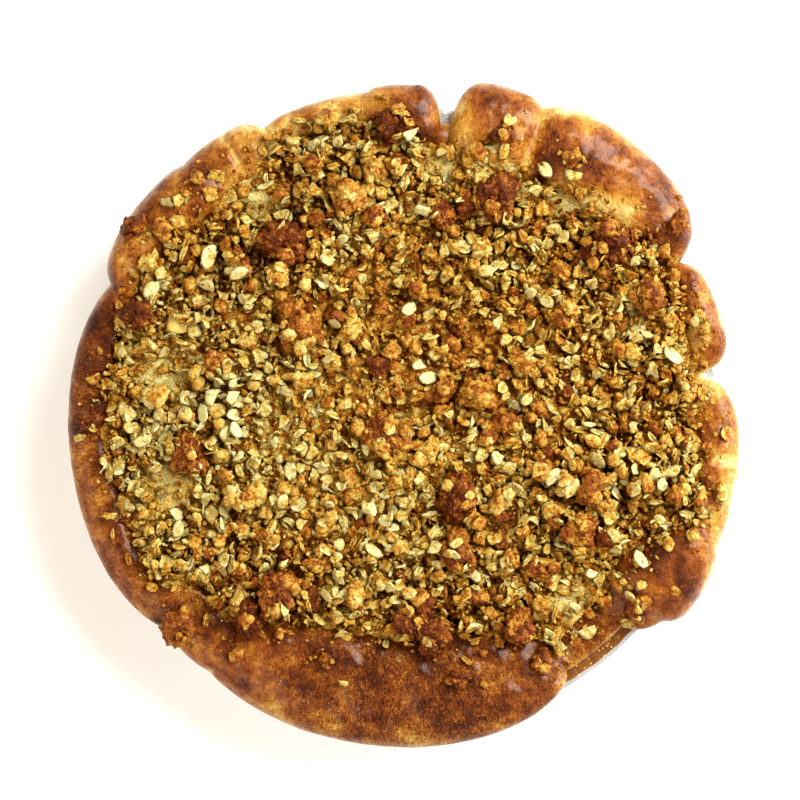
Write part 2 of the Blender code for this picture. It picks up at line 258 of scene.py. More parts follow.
# the pastry's rim is made of lobes that hang out over the flange and laps that are folded in over the filling.
# A lobe is (direction, half its width in degrees, reach from the middle, puff above the flange),
# and a lap is (direction, half its width in degrees, how near the middle it comes). Lengths are in mm.
pastry = {
    "lobes": (
        (262, 40, 120.5, 14.0),
        (222, 16, 119.0, 11.0),
        (187, 38, 125.0, 11.0),
        (142, 16, 126.5, 14.5),
        (126, 11, 125.2, 12.0),
        (104, 18, 121.2, 11.0),
        (92, 8, 122.8, 12.5),
        (73, 9, 127.0, 14.0),
        (50, 20.5, 130.5, 15.0),
        (20, 11, 120.5, 11.5),
        (342, 26, 122.5, 11.5),
        (330, 10, 125.0, 15.5),
    ),
    "laps": (
        (268, 38, 79.0),
        (230, 17, 95.5),
        (318, 20, 91.5),
        (74, 16, 95.0),
        (55, 18, 98.0),
        (130, 12, 103.5),
        (4, 16, 104.0),
    ),
    "creaseOuter": 109.0,
    "creaseInner": 108.5,
    "leastWidth": 6.0,
    "creaseLift": 7.0,
    "fillingEdge": 37.0,
    "fillingMiddle": 40.0,
    "droop": 4.5,
    "lump": 0.9,
    "lumpSpan": 17.0,
    "segments": 900,
    "arcRings": 60,
    "rings": 84,
}
tin = {
    "rim": 115.0,
    "flangeInner": 103.5,
    "base": 86.0,
    "flange": 34.0,
    "foil": 0.6,
    "flutes": 48,
    "fluteDepth": 1.5,
    "gap": 0.35,
}


def turnBetween(angle, middle):
    return (angle - middle + 180.0) % 360.0 - 180.0


def shareAt(middle, halfWidth, angle):
    across = abs(turnBetween(angle, middle)) / halfWidth
    return (1.0 - across**4) ** 0.6 if across < 1.0 else 0.0


def rimAt(angle):
    # the dough's outer radius, inner radius and height above the flange, in mm
    reach = lift = inward = 0.0
    for middle, halfWidth, outer, puff in pastry["lobes"]:
        share = shareAt(middle, halfWidth, angle)
        reach = max(reach, (outer - pastry["creaseOuter"]) * share)
        lift = max(lift, (puff - pastry["creaseLift"]) * share)
    for middle, halfWidth, inner in pastry["laps"]:
        inward = max(inward, (pastry["creaseInner"] - inner) * shareAt(middle, halfWidth, angle))
    outer = pastry["creaseOuter"] + reach
    inner = min(pastry["creaseInner"] - inward, outer - pastry["leastWidth"])
    return outer, inner, pastry["creaseLift"] + lift


def pastrySection(angle):
    # the pastry's outline in one direction, from the middle of its underside to the middle of its top, in mm
    outer, inner, lift = rimAt(angle)
    rest = tin["flange"] + tin["gap"]
    leastOuter = min(rimAt(angle + turn)[0] for turn in (-3.0, 0.0, 3.0))
    overhang = clamp((leastOuter - tin["rim"] - 2.0) / 4.0)
    droop = pastry["droop"] * overhang
    lastSupport = min(outer - 3.0, tin["rim"] + tin["gap"])
    outerHeight = rest + 3.2 - 0.7 * droop
    clear = 0.5 * tin["fluteDepth"] + 1.2 * tin["foil"] + tin["gap"]
    foot = tin["foil"] + tin["gap"]
    points = [
        (0.5 * tin["base"], foot),
        (tin["base"] - clear - 2.0, foot),
        (tin["base"] - clear, foot + 1.0),
        (tin["flangeInner"] - clear - 1.0, tin["flange"] - 2.5),
        (tin["flangeInner"] - 0.3 * clear, rest),
        (lastSupport - 2.0, rest),
        (lastSupport, rest),
        (lastSupport + 0.4 * (outer - lastSupport), rest + 0.3 - droop),
    ]
    middle, half = 0.5 * (outer + inner), 0.5 * (outer - inner)
    arc = pastry["arcRings"]
    for step in range(arc):
        share = step / (arc - 1)
        turn = math.pi * share
        ends = outerHeight * (1.0 - share) + pastry["fillingEdge"] * share
        puff = tin["flange"] + lift - 0.5 * (outerHeight + pastry["fillingEdge"])
        across = math.copysign(abs(math.cos(turn)) ** 0.8, math.cos(turn))
        rise = puff * math.sin(turn) ** 0.75 if 0 < step < arc - 1 else 0.0
        points.append((middle + half * across, ends + rise))
    fill = pastry["rings"] - 1 - len(points)
    for step in range(1, fill + 1):
        share = step / (fill + 1)
        level = pastry["fillingEdge"] + (pastry["fillingMiddle"] - pastry["fillingEdge"]) * share
        points.append((inner * (1.0 - share), level))
    return points


# patches of bake on the pastry: x and y in mm, how far the patch spreads, and its tone from 0, raw, to 1, dark
bakePatches = (
    (0, -98, 24, 0.72),
    (-45, -92, 16, 0.66),
    (48, -90, 16, 0.64),
    (18, -106, 7, 0.86),
    (44, -104, 6, 0.84),
    (30, -112, 5, 0.74),
    (-20, -112, 6, 0.60),
    (-24, -101, 3, 0.42),
    (0, -119, 8, 0.44),
    (-30, -117, 7, 0.40),
    (-52, -107, 7, 0.42),
    (30, -119, 6, 0.46),
    (60, -96, 7, 0.44),
    (-118, 0, 10, 0.74),
    (-114, 30, 12, 0.80),
    (-112, -34, 10, 0.62),
    (-108, -52, 8, 0.70),
    (-96, -74, 10, 0.56),
    (-122, -14, 6, 0.52),
    (-121, 14, 4, 0.62),
    (-112, 52, 7, 0.74),
    (-104, 62, 6, 0.44),
    (-75, 93, 4, 0.86),
    (-82, 84, 7, 0.58),
    (-72, 98, 5, 0.46),
    (-92, 68, 8, 0.50),
    (-98, 48, 6, 0.46),
    (-64, 92, 6, 0.38),
    (-66, 100, 4, 0.36),
    (-52, 106, 8, 0.36),
    (-46, 96, 9, 0.30),
    (-24, 112, 8, 0.38),
    (-20, 102, 8, 0.56),
    (4, 114, 7, 0.62),
    (7, 107, 6, 0.68),
    (17, 109, 4, 0.20),
    (33, 112, 6, 0.66),
    (34, 106, 5, 0.62),
    (44, 111, 3, 0.48),
    (30, 99, 4, 0.26),
    (38, 97, 4, 0.30),
    (46, 104, 3, 0.62),
    (49, 117, 2, 0.26),
    (58, 114, 2.5, 0.24),
    (67, 110, 2.5, 0.26),
    (76, 106, 2.5, 0.30),
    (56, 105, 4, 0.58),
    (66, 102, 4.5, 0.58),
    (76, 97, 5, 0.58),
    (50, 98, 4, 0.84),
    (58, 95, 5, 0.88),
    (66, 92, 5, 0.86),
    (75, 88, 5, 0.78),
    (86, 90, 6, 0.60),
    (94, 88, 5, 0.64),
    (58, 84, 4, 0.20),
    (70, 82, 4, 0.20),
    (80, 80, 4, 0.26),
    (90, 78, 4, 0.76),
    (100, 78, 5, 0.66),
    (105, 68, 5, 0.64),
    (104, 54, 6, 0.56),
    (112, 34, 7, 0.46),
    (110, 24, 5, 0.60),
    (108, 14, 4, 0.16),
    (113, 6, 6, 0.48),
    (110, -6, 5, 0.72),
    (117, -4, 5, 0.44),
    (116, -14, 4, 0.24),
    (110, -20, 6, 0.44),
    (108, -28, 5, 0.50),
    (118, -24, 4, 0.12),
    (117, -36, 5, 0.16),
    (110, -44, 6, 0.44),
    (114, -56, 6, 0.28),
    (97, -50, 9, 0.80),
    (90, -60, 7, 0.72),
    (78, -78, 9, 0.56),
)

# where the crust is floury and coarse: x, y, spread in mm and how coarse
coarsePatches = (
    (0, -100, 42, 1.0),
    (-112, 0, 30, 0.8),
    (-90, -60, 24, 0.7),
    (-86, 76, 22, 0.55),
    (60, -88, 16, 0.8),
)
leastCoarse = 0.16

# folds pressed into the dough: from and to in mm, width and depth
folds = (
    ((-70, 106), (-62, 94), 1.5, 1.5),
    ((-66, 108), (-60, 100), 1.0, 0.7),
    ((-27, -96), (-21, -109), 1.6, 0.8),
    ((44, 92), (50, 111), 2.6, 1.8),
    ((30, 100), (38, 92), 1.6, 0.9),
    ((107, -13), (119, -16), 1.8, 1.2),
    ((104, 40), (110, 30), 1.3, 0.7),
    ((-104, 58), (-96, 52), 1.6, 1.0),
    ((-118, -28), (-110, -30), 1.8, 0.6),
    ((62, -92), (56, -84), 1.6, 0.9),
    ((88, -44), (96, -40), 1.5, 1.0),
    ((-70, -88), (-76, -97), 1.8, 0.8),
)


def bakeAt(x, y):
    # the tone of the named patches near a place in mm, each weighed by how near it is
    total = weights = 1e-9
    for patchX, patchY, spread, tone in bakePatches:
        away = awayFrom(x, y, patchX, patchY, spread)
        weight = math.exp(-away) + 1e-4 / (1 + away)
        total += weight * tone
        weights += weight
    return total / weights


def coarseAt(x, y):
    best = leastCoarse
    for *patch, amount in coarsePatches:
        best = max(best, amount * math.exp(-(awayFrom(x, y, *patch) ** 2)))
    return best


def foldAt(x, y):
    # how deep the folds are near a place, in mm
    deepest = 0.0
    for (fromX, fromY), (toX, toY), width, depth in folds:
        if abs(x - fromX) > 24 or abs(y - fromY) > 24:
            continue
        alongX, alongY = toX - fromX, toY - fromY
        length = alongX**2 + alongY**2
        share = clamp(((x - fromX) * alongX + (y - fromY) * alongY) / length)
        away = math.hypot(x - fromX - share * alongX, y - fromY - share * alongY)
        deepest = max(deepest, depth * math.exp(-((away / width) ** 2)))
    return deepest


def startTurned(name, segments, rings):
    # a flat grid that will be wrapped round the Z axis: also gives each point's side and its ring
    startClean()
    bpy.ops.mesh.primitive_grid_add(x_subdivisions=segments, y_subdivisions=rings, size=2.0)
    piece = bpy.context.object
    piece.name = name
    coords = coordsOf(piece.data)
    side = np.round((coords[:, 0] + 1) / 2 * segments).astype(int) % segments
    ring = np.round((coords[:, 1] + 1) / 2 * rings).astype(int)
    return piece, side, ring


def closeTurned(piece, coords, attributes, material, degrees):
    # puts the points in place, joins the seam and the two poles, and gives the piece its material
    setCoords(piece.data, coords)
    for name, values in attributes.items():
        addAttribute(piece.data, name, values)
    editAll(piece)
    bpy.ops.mesh.remove_doubles(threshold=1e-6)
    bpy.ops.object.mode_set(mode="OBJECT")
    piece.data.materials.append(material)
    smooth(piece, degrees)


def makePastry():
    segments, rings = pastry["segments"], pastry["rings"]
    piece, side, ring = startTurned("pastry_rim", segments, rings)
    turn = side * math.tau / segments
    coords = np.zeros((len(side), 3))
    sections = [pastrySection(360.0 * number / segments) for number in range(segments)]
    bake, coarse = np.zeros(len(coords)), np.full(len(coords), 0.5)
    for number in range(len(coords)):
        level = ring[number]
        if level == 0 or level == rings:
            height = tin["foil"] + tin["gap"] if level == 0 else pastry["fillingMiddle"]
            coords[number] = (0, 0, height * mm)
            continue
        radius, height = sections[side[number]][level - 1]
        angle = turn[number]
        x, y = radius * math.cos(angle), radius * math.sin(angle)
        point = Vector((x, y, height)) * mm
        bake[number] = 0.25
        if level > 8:
            point.z += pastry["lump"] * mm * noise.noise(point / (pastry["lumpSpan"] * mm))
        if 8 < level <= 9 + pastry["arcRings"]:
            share = (level - 9) / pastry["arcRings"]
            top = math.sin(math.pi * min(1.0, share))
            wrinkle = fractal(point, 6.5 * mm)
            blister = max(0.0, noise.noise(point / (8 * mm) + Vector((3, 9, 1)))) ** 1.5
            dimple = noise.noise(point / (1.9 * mm))
            fold = foldAt(x, y)
            coarse[number] = coarseAt(x, y)
            away = (0.42 * wrinkle + 0.11 * dimple + 1.3 * blister - fold) * top ** 0.5
            outward = math.cos(math.pi * share) * 0.7
            point += Vector((outward * x / radius, outward * y / radius, math.sin(math.pi * share))) * away * mm
            edge = max(0.0, 1.0 - share / 0.24)
            inner = max(0.0, (share - 0.72) / 0.28)
            tone = bakeAt(x, y) - 0.16 * edge - 0.20 * inner + 0.10 * wrinkle + 0.18 * blister - 0.16 * fold
            tone += 0.16 * noise.noise(point / (11 * mm) + Vector((5, 1, 2)))
            tone += 0.10 * noise.noise(point / (4 * mm) + Vector((1, 6, 2)))
            bake[number] = tone
        coords[number] = point
    closeTurned(piece, coords, {"bake": bake, "coarse": coarse}, pastryMaterial(), 60)
    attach(piece, "root")
    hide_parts("pastry")
    return piece


# from raw dough through gold to dark brown
bakeColours = (
    (0.0, (0.68, 0.60, 0.33)),
    (0.16, (0.58, 0.435, 0.165)),
    (0.30, (0.475, 0.272, 0.058)),
    (0.46, (0.360, 0.158, 0.022)),
    (0.62, (0.240, 0.074, 0.008)),
    (0.80, (0.125, 0.031, 0.003)),
    (1.0, (0.045, 0.010, 0.001)),
)


def centred(tree, value, amount):
    # a 0 to 1 value made to swing by some amount either side of nothing
    return mathNode(tree, "MULTIPLY", mathNode(tree, "SUBTRACT", value, 0.5), amount)


def ramped(tree, value, low, high, first=0.0, last=1.0):
    names = {"Value": value, "From Min": low, "From Max": high, "To Min": first, "To Max": last}
    return addNode(tree, "ShaderNodeMapRange", names).outputs["Result"]


def mixed(tree, factor, first, second):
    node = addNode(tree, "ShaderNodeMix", data_type="RGBA")
    for name, value in (("Factor_Float", factor), ("A_Color", first), ("B_Color", second)):
        socket = next(item for item in node.inputs if item.identifier == name)
        if isinstance(value, bpy.types.NodeSocket):
            tree.links.new(value, socket)
        else:
            socket.default_value = value
    return next(item for item in node.outputs if item.identifier == "Result_Color")


def poreNode(tree, place, scale, feature="F1"):
    names = {"Vector": place, "Scale": scale}
    return addNode(tree, "ShaderNodeTexVoronoi", names, feature=feature).outputs["Distance"]


def pastryMaterial():
    material, tree = newMaterial("baked pastry")
    place = objectPlace(tree)
    away = vectorNode(tree, "NORMALIZE", vectorNode(tree, "MULTIPLY", place, (1.0, 1.0, 0.0)))
    ringed = vectorNode(tree, "MULTIPLY", away, (0.1, 0.1, 0.1))
    radial = vectorNode(tree, "ADD", ringed, vectorNode(tree, "MULTIPLY", place, (0.3, 0.3, 0.3)))
    blotch = noiseNode(tree, place, 130, 4, 0.7)
    mottle = noiseNode(tree, place, 420, 4, 0.7)
    fine = noiseNode(tree, place, 1300, 3, 0.7)
    grain = noiseNode(tree, radial, 1500, 3, 0.6)
    pores = poreNode(tree, place, 520)
    poreMask = ramped(tree, noiseNode(tree, place, 160, 2, 0.5), 0.46, 0.62)
    pore = mathNode(tree, "MULTIPLY", ramped(tree, pores, 0.10, 0.24, 1.0, 0.0), poreMask)
    coarse = attributeNode(tree, "coarse")
    grainy = mathNode(tree, "MULTIPLY", added(tree, centred(tree, fine, 1.0), centred(tree, grain, 0.80)), coarse)
    tone = added(tree, attributeNode(tree, "bake"), centred(tree, blotch, 0.80), centred(tree, mottle, 0.55), grainy)
    colour = addRamp(tree, added(tree, tone, mathNode(tree, "MULTIPLY", pore, 0.34)), bakeColours)
    specks = ramped(tree, poreNode(tree, place, 900), 0.06, 0.18, 1.0, 0.0)
    speckMask = ramped(tree, noiseNode(tree, place, 240, 2, 0.5), 0.44, 0.60)
    speck = mathNode(tree, "MULTIPLY", mathNode(tree, "MULTIPLY", specks, speckMask), coarse)
    colour = mixed(tree, speck, colour, (0.74, 0.54, 0.29, 1))
    bump = bumpNode(tree, blotch, 0.7, 0.004)
    bump = bumpNode(tree, mottle, 0.7, 0.002, bump)
    bump = bumpNode(tree, mathNode(tree, "MULTIPLY", fine, coarse), 0.8, 0.0012, bump)
    bump = bumpNode(tree, pore, 0.6, 0.0004, bump, invert=True)
    setShader(tree, Base_Color=colour, Roughness=ramped(tree, coarse, 0.2, 0.9, 0.40, 0.62), Normal=bump)
    setShader(tree, Specular_IOR_Level=0.20, Coat_Weight=0.42, Coat_Roughness=0.22)
    setShader(tree, Subsurface_Weight=0.05, Subsurface_Radius=(0.002, 0.0008, 0.0003), Subsurface_Scale=1.0)
    return material


pastryPiece = makePastry()
print("pastry is baked")


# the pressed foil: how fine its mesh is, its thickness in mm, the crimps on the flange and the rings on the base,
# each a radius and a height, and where juice has run, each a direction and half a width in degrees
foilShape = {
    "segments": 960,
    "rings": 80,
    "thick": 0.35,
    "bead": 1.45,
    "crimps": 144,
    "crimpHeight": 0.12,
    "baseRings": ((34.0, 0.35), (60.0, 0.4), (79.0, 0.4)),
    "juice": ((-46, 20), (-8, 7), (150, 12), (212, 8)),
}


def foilWall(turn, height):
    # how far the flutes and dents push the wall outwards, in mm
    low, high = 3.0, tin["flange"] - 2.6
    share = clamp((height - low) / 3.0) * clamp((high - height) / 2.5)
    wave = -math.cos(tin["flutes"] * turn)
    flute = 0.5 * tin["fluteDepth"] * math.copysign(abs(wave) ** 0.6, wave)
    spot = Vector((math.cos(turn) * 24, math.sin(turn) * 24, height * 0.16))
    return share * (flute + 0.13 * noise.noise(spot)) + 0.10 * noise.noise(spot * 2.1)


def ringLift(radius):
    # how high the rings pressed into the base stand, in mm
    return sum(high * math.exp(-(((radius - ring) / 1.3) ** 2)) for ring, high in foilShape["baseRings"])


def wallRadius(height):
    share = (height - tin["foil"]) / (tin["flange"] - tin["foil"])
    return tin["base"] + share * (tin["flangeInner"] - tin["base"])


def foilSection(turn):
    # the foil's outline in one direction, from the middle of its underside round its rolled edge and back
    thick, bead, edge = foilShape["thick"], foilShape["bead"], tin["rim"] - 0.05
    flange = tin["flange"] - tin["foil"]
    points = []
    for step in range(12):
        radius = tin["base"] * (step + 1) / 13
        points.append((radius, ringLift(radius)))
    points += [(tin["base"] - 1.2, 0.0), (tin["base"] - 0.3, 0.25)]
    for step in range(18):
        height = 0.9 + (tin["flange"] - 1.9) * step / 17
        points.append((wallRadius(height) + foilWall(turn, height), height))
    points.append((tin["flangeInner"] + 0.3, flange - 0.1))
    middle, level = edge - bead, tin["flange"] - 0.12 - bead
    crimp = foilShape["crimpHeight"] * math.sin(foilShape["crimps"] * turn)
    crimp += 0.05 * noise.noise(Vector((math.cos(turn) * 30, math.sin(turn) * 30, 5)))
    for radius in (106.0, 108.5, middle - 1.15 * bead):
        points.append((radius, flange + 0.5 * crimp))
    for step in range(12):
        swing = math.radians(158 + 292 * step / 11)
        dent = 1 + 0.05 * noise.noise(Vector((math.cos(turn) * 20, math.sin(turn) * 20, step * 0.3)))
        points.append((middle + bead * dent * math.cos(swing), level + bead * dent * math.sin(swing)))
    for radius in (middle - 0.9 * bead, 110.0, 108.5, 107.0, 105.5, 104.2):
        points.append((radius, flange + thick + crimp * min(1.0, (radius - 103.5) / 2)))
    points.append((tin["flangeInner"] + 0.1, flange + 0.4 * thick))
    for step in range(18):
        height = tin["flange"] - 1.2 - (tin["flange"] - 2.0) * step / 17
        points.append((wallRadius(height) - thick + foilWall(turn, height), height))
    points.append((tin["base"] - 1.0, thick))
    while len(points) < foilShape["rings"] - 1:
        rest = foilShape["rings"] - 1 - len(points)
        radius = (tin["base"] - 1.0) * rest / (rest + 1)
        points.append((radius, thick + ringLift(radius)))
    return points


def makeTin():
    segments, rings = foilShape["segments"], foilShape["rings"]
    piece, side, ring = startTurned("foil_pie_tin", segments, rings)
    turns = side * math.tau / segments
    coords = np.zeros((len(side), 3))
    sections = [foilSection(math.tau * number / segments) for number in range(segments)]
    juice, fluteValleyShade = np.zeros(len(coords)), np.zeros(len(coords))
    for number in range(len(coords)):
        level = ring[number]
        if level == 0 or level == rings:
            coords[number] = (0, 0, 0.0 if level == 0 else foilShape["thick"] * mm)
            continue
        radius, height = sections[side[number]][level - 1]
        x, y = radius * math.cos(turns[number]), radius * math.sin(turns[number])
        coords[number] = (x * mm, y * mm, height * mm)
        inner = 1.0 if 103.0 < radius < 112.3 and height > tin["flange"] - 1.4 else 0.0
        if radius <= 103.6 and height > tin["flange"] - 7:
            inner = 0.8
        # painted shade: a mask over the valleys of the wall's flutes, which darkens the foil's colour there
        onWall = clamp((height - 1.5) / 4.0) * clamp((tin["flange"] - 1.5 - height) / 3.0)
        fluteValleyShade[number] = onWall * max(0.0, math.cos(tin["flutes"] * turns[number])) ** 1.5
        degrees = math.degrees(turns[number])
        wet = max(shareAt(middle, half, degrees) for middle, half in foilShape["juice"])
        drip = noise.noise(Vector((x, y, height)) / 3.5)
        juice[number] = inner * wet + 0.35 * drip * wet * (1.0 if height > tin["flange"] - 3 else 0.4)
    closeTurned(piece, coords, {"juice": juice, "fluteValleyShade": fluteValleyShade}, foilMaterial(), 34)
    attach(piece, "root")
    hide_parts("foil_tin")
    print("foil tin", len(piece.data.polygons), "faces")


def foilMaterial():
    material, tree = newMaterial("pressed foil")
    place = objectPlace(tree)
    crease = ramped(tree, poreNode(tree, place, 150, "DISTANCE_TO_EDGE"), 0.0, 0.10, 1.0, 0.0)
    dents = noiseNode(tree, place, 260, 4, 0.65)
    brush = noiseNode(tree, place, 1800, 2, 0.5)
    streak = noiseNode(tree, place, 420, 3, 0.6)
    wet = ramped(tree, added(tree, attributeNode(tree, "juice"), centred(tree, streak, 0.5)), 0.36, 0.58)
    clean = mixed(tree, dents, (0.66, 0.69, 0.73, 1), (0.86, 0.88, 0.91, 1))
    # painted shade: the foil's colour is darkened to grey in the flute valleys, patchily along the streaks
    paintedFluteShade = mathNode(tree, "MULTIPLY", attributeNode(tree, "fluteValleyShade"), ramped(tree, streak, 0.3, 0.7, 0.45, 0.95))
    clean = mixed(tree, paintedFluteShade, clean, (0.33, 0.34, 0.36, 1))
    stain = mixed(tree, streak, (0.085, 0.026, 0.007, 1), (0.36, 0.17, 0.045, 1))
    # painted highlights: small pale gold glints dotted over the juice stain where the dents are high
    paintedGlints = ramped(tree, poreNode(tree, place, 620), 0.16, 0.30, 1.0, 0.0)
    paintedGlints = mathNode(tree, "MULTIPLY", paintedGlints, ramped(tree, dents, 0.44, 0.56))
    stain = mixed(tree, paintedGlints, stain, (0.86, 0.66, 0.27, 1))
    metal = mathNode(tree, "SUBTRACT", 0.72, mathNode(tree, "MULTIPLY", wet, 0.68))
    bump = bumpNode(tree, dents, 0.32, 0.0008)
    bump = bumpNode(tree, crease, 0.2, 0.0003, bump)
    bump = bumpNode(tree, brush, 0.05, 0.0001, bump)
    setShader(tree, Base_Color=mixed(tree, wet, clean, stain), Metallic=metal, Normal=bump)
    setShader(tree, Roughness=ramped(tree, brush, 0.3, 0.7, 0.18, 0.28))
    return material


makeTin()


# the heap of crumble fills the ring of dough. The lumps are x, y and width in mm, and a tone
crumble = {
    "lap": 4.5,
    "edge": 43.5,
    "middle": 51.5,
    "bump": 2.6,
    "bumpSpan": 10.0,
    "sunk": 3.6,
    "cells": 320,
    "cap": 59.5,
    "lumps": (
        (-44, 64, 17, 0.80),
        (-39, 35, 18, 0.52),
        (32, 80, 16, 0.80),
        (11, 75, 11, 0.66),
        (21, 77, 11, 0.66),
        (74, 65, 16, 0.82),
        (67, 60, 10, 0.95),
        (27, 10, 15, 0.42),
        (17, -30, 17, 0.80),
        (17, -47, 14, 0.60),
        (-9, -5, 15, 0.64),
        (-22, 80, 13, 0.46),
        (-5, 107, 13, 0.86),
        (-49, -63, 16, 0.72),
        (-58, -73, 12, 0.92),
        (4, -70, 11, 0.78),
        (9, -79, 13, 0.80),
        (0, -75, 10, 0.86),
        (41, 20, 10, 0.40),
        (55, 36, 12, 0.50),
        (-79, -13, 14, 0.66),
        (-100, 38, 13, 0.86),
        (87, 44, 12, 0.58),
        (62, -40, 13, 0.54),
        (40, -76, 12, 0.74),
        (-70, 20, 11, 0.50),
    ),
    "tones": (
        (-66, -11, 32, -0.10),
        (0, -50, 28, -0.06),
        (11, 30, 24, 0.12),
        (-60, 72, 22, 0.10),
        (76, 68, 20, 0.14),
        (-50, -66, 20, 0.14),
        (18, -80, 16, 0.20),
        (-84, 20, 12, 0.08),
        (78, -6, 20, 0.09),
        (-78, 4, 22, -0.08),
    ),
}


# where pale dough shows between the crumbs: x, y and spread in mm
creamPatches = (
    (58, 80, 7),
    (13, 95, 6),
    (24, 92, 5),
    (-90, 16, 8),
    (-58, 80, 7),
    (-88, -24, 7),
    (58, -66, 7),
    (84, 34, 5),
)


def creamAt(x, y):
    return max(math.exp(-awayFrom(x, y, *patch)) for patch in creamPatches)


def toneShift(x, y):
    # how much darker the crumble is baked near a place in mm
    return sum(tone * math.exp(-awayFrom(x, y, *patch)) for *patch, tone in crumble["tones"])


def heapLimitAt(angle):
    outer, inner, _ = rimAt(angle)
    return min(inner + crumble["lap"], 0.5 * (inner + outer))


limitTurns = np.arange(1441) / 4
heapLimits = np.array([heapLimitAt(turn) for turn in limitTurns])


def heapLimit(x, y):
    turn = np.degrees(np.arctan2(y, x)) % 360.0
    return np.interp(turn, limitTurns, heapLimits)


def heapHeight(x, y):
    # the surface of the core in mm, sunk so that the loose pieces fill its form
    radius, limit = math.hypot(x, y), float(heapLimit(x, y))
    dome = crumble["edge"] + (crumble["middle"] - crumble["edge"]) * (1.0 - min(1.0, radius / limit) ** 2.2)
    point = Vector((x, y, 0)) / crumble["bumpSpan"]
    sunk = crumble["sunk"] * min(1.0, (1.0 - min(1.0, radius / limit)) * 4.0)
    return dome + crumble["bump"] * (noise.noise(point) + 0.6 * noise.noise(point * 2.3)) - sunk


nowhere = -99.0  # the height where there is no pastry


def surfaceUnder(tree, x, y):
    # the height of the pastry in mm at a place in mm
    hit = tree.ray_cast(Vector((x * mm, y * mm, 0.2)), Vector((0, 0, -1)))
    return hit[0].z / mm if hit[0] else nowhere


# where the ground is measured, in mm from the middle: the pastry counts from inside the laps outwards
reach = {"farthest": 131, "pastryFrom": 72, "half": 132.0, "cell": 0.5}


class Ground:
    # the height of everything laid so far, in mm, on a grid of half millimetre cells
    def __init__(self, half, cell, tree):
        self.half, self.cell = half, cell
        self.count = int(2 * half / cell)
        self.axis = (np.arange(self.count) + 0.5) * cell - half
        coarse = np.arange(-half, half + 1.0, 1.0)
        rough = np.full((len(coarse), len(coarse)), 30.0)
        for row, y in enumerate(coarse):
            for column, x in enumerate(coarse):
                radius = math.hypot(x, y)
                if radius > reach["farthest"]:
                    continue
                level = surfaceUnder(tree, x, y) if radius > reach["pastryFrom"] else nowhere
                if radius < float(heapLimit(x, y)):
                    level = max(level, heapHeight(x, y))
                rough[row, column] = max(level, 0.0)
        places = self.axis + half
        low = np.clip(np.floor(places).astype(int), 0, len(coarse) - 2)
        share = places - low
        across = rough[:, low] * (1 - share) + rough[:, low + 1] * share
        self.height = across[low, :] * (1 - share)[:, None] + across[low + 1, :] * share[:, None]

    def at(self, x, y):
        column = min(self.count - 1, max(0, int((x + self.half) / self.cell)))
        row = min(self.count - 1, max(0, int((y + self.half) / self.cell)))
        return self.height[row, column]

    def seat(self, x, y, foot):
        # the mean height under a footprint and the slope there
        east, west = self.at(x + foot, y), self.at(x - foot, y)
        north, south = self.at(x, y + foot), self.at(x, y - foot)
        level = (east + west + north + south + 2 * self.at(x, y)) / 6
        slope = Vector(((west - east) / (2 * foot), (south - north) / (2 * foot), 1.0))
        return level, slope.normalized()

    def raiseDisc(self, x, y, radius, top, thickness):
        low = int((x - radius + self.half) / self.cell)
        high = int((x + radius + self.half) / self.cell) + 1
        bottom = int((y - radius + self.half) / self.cell)
        upper = int((y + radius + self.half) / self.cell) + 1
        columns, rows = slice(max(0, low), high), slice(max(0, bottom), upper)
        away = ((self.axis[columns] - x) ** 2)[None, :] + ((self.axis[rows] - y) ** 2)[:, None]
        dome = top - thickness * (1 - np.sqrt(np.clip(1 - away / radius**2, 0, 1)))
        patch = self.height[rows, columns]
        self.height[rows, columns] = np.where(away < radius**2, np.maximum(patch, dome), patch)


startClean()
pastryTree = BVHTree.FromPolygons(
    [v.co.copy() for v in pastryPiece.data.vertices], [tuple(p.vertices) for p in pastryPiece.data.polygons]
)
ground = Ground(reach["half"], reach["cell"], pastryTree)
print("the ground under the crumble is measured")


def takeModel(piece):
    # reads a finished small model into arrays and removes it
    editAll(piece)
    bpy.ops.mesh.quads_convert_to_tris()
    bpy.ops.object.mode_set(mode="OBJECT")
    coords = coordsOf(piece.data)
    faces = np.array([tuple(face.vertices) for face in piece.data.polygons], np.int64)
    bpy.data.objects.remove(piece, do_unlink=True)
    return {"coords": coords, "faces": faces}


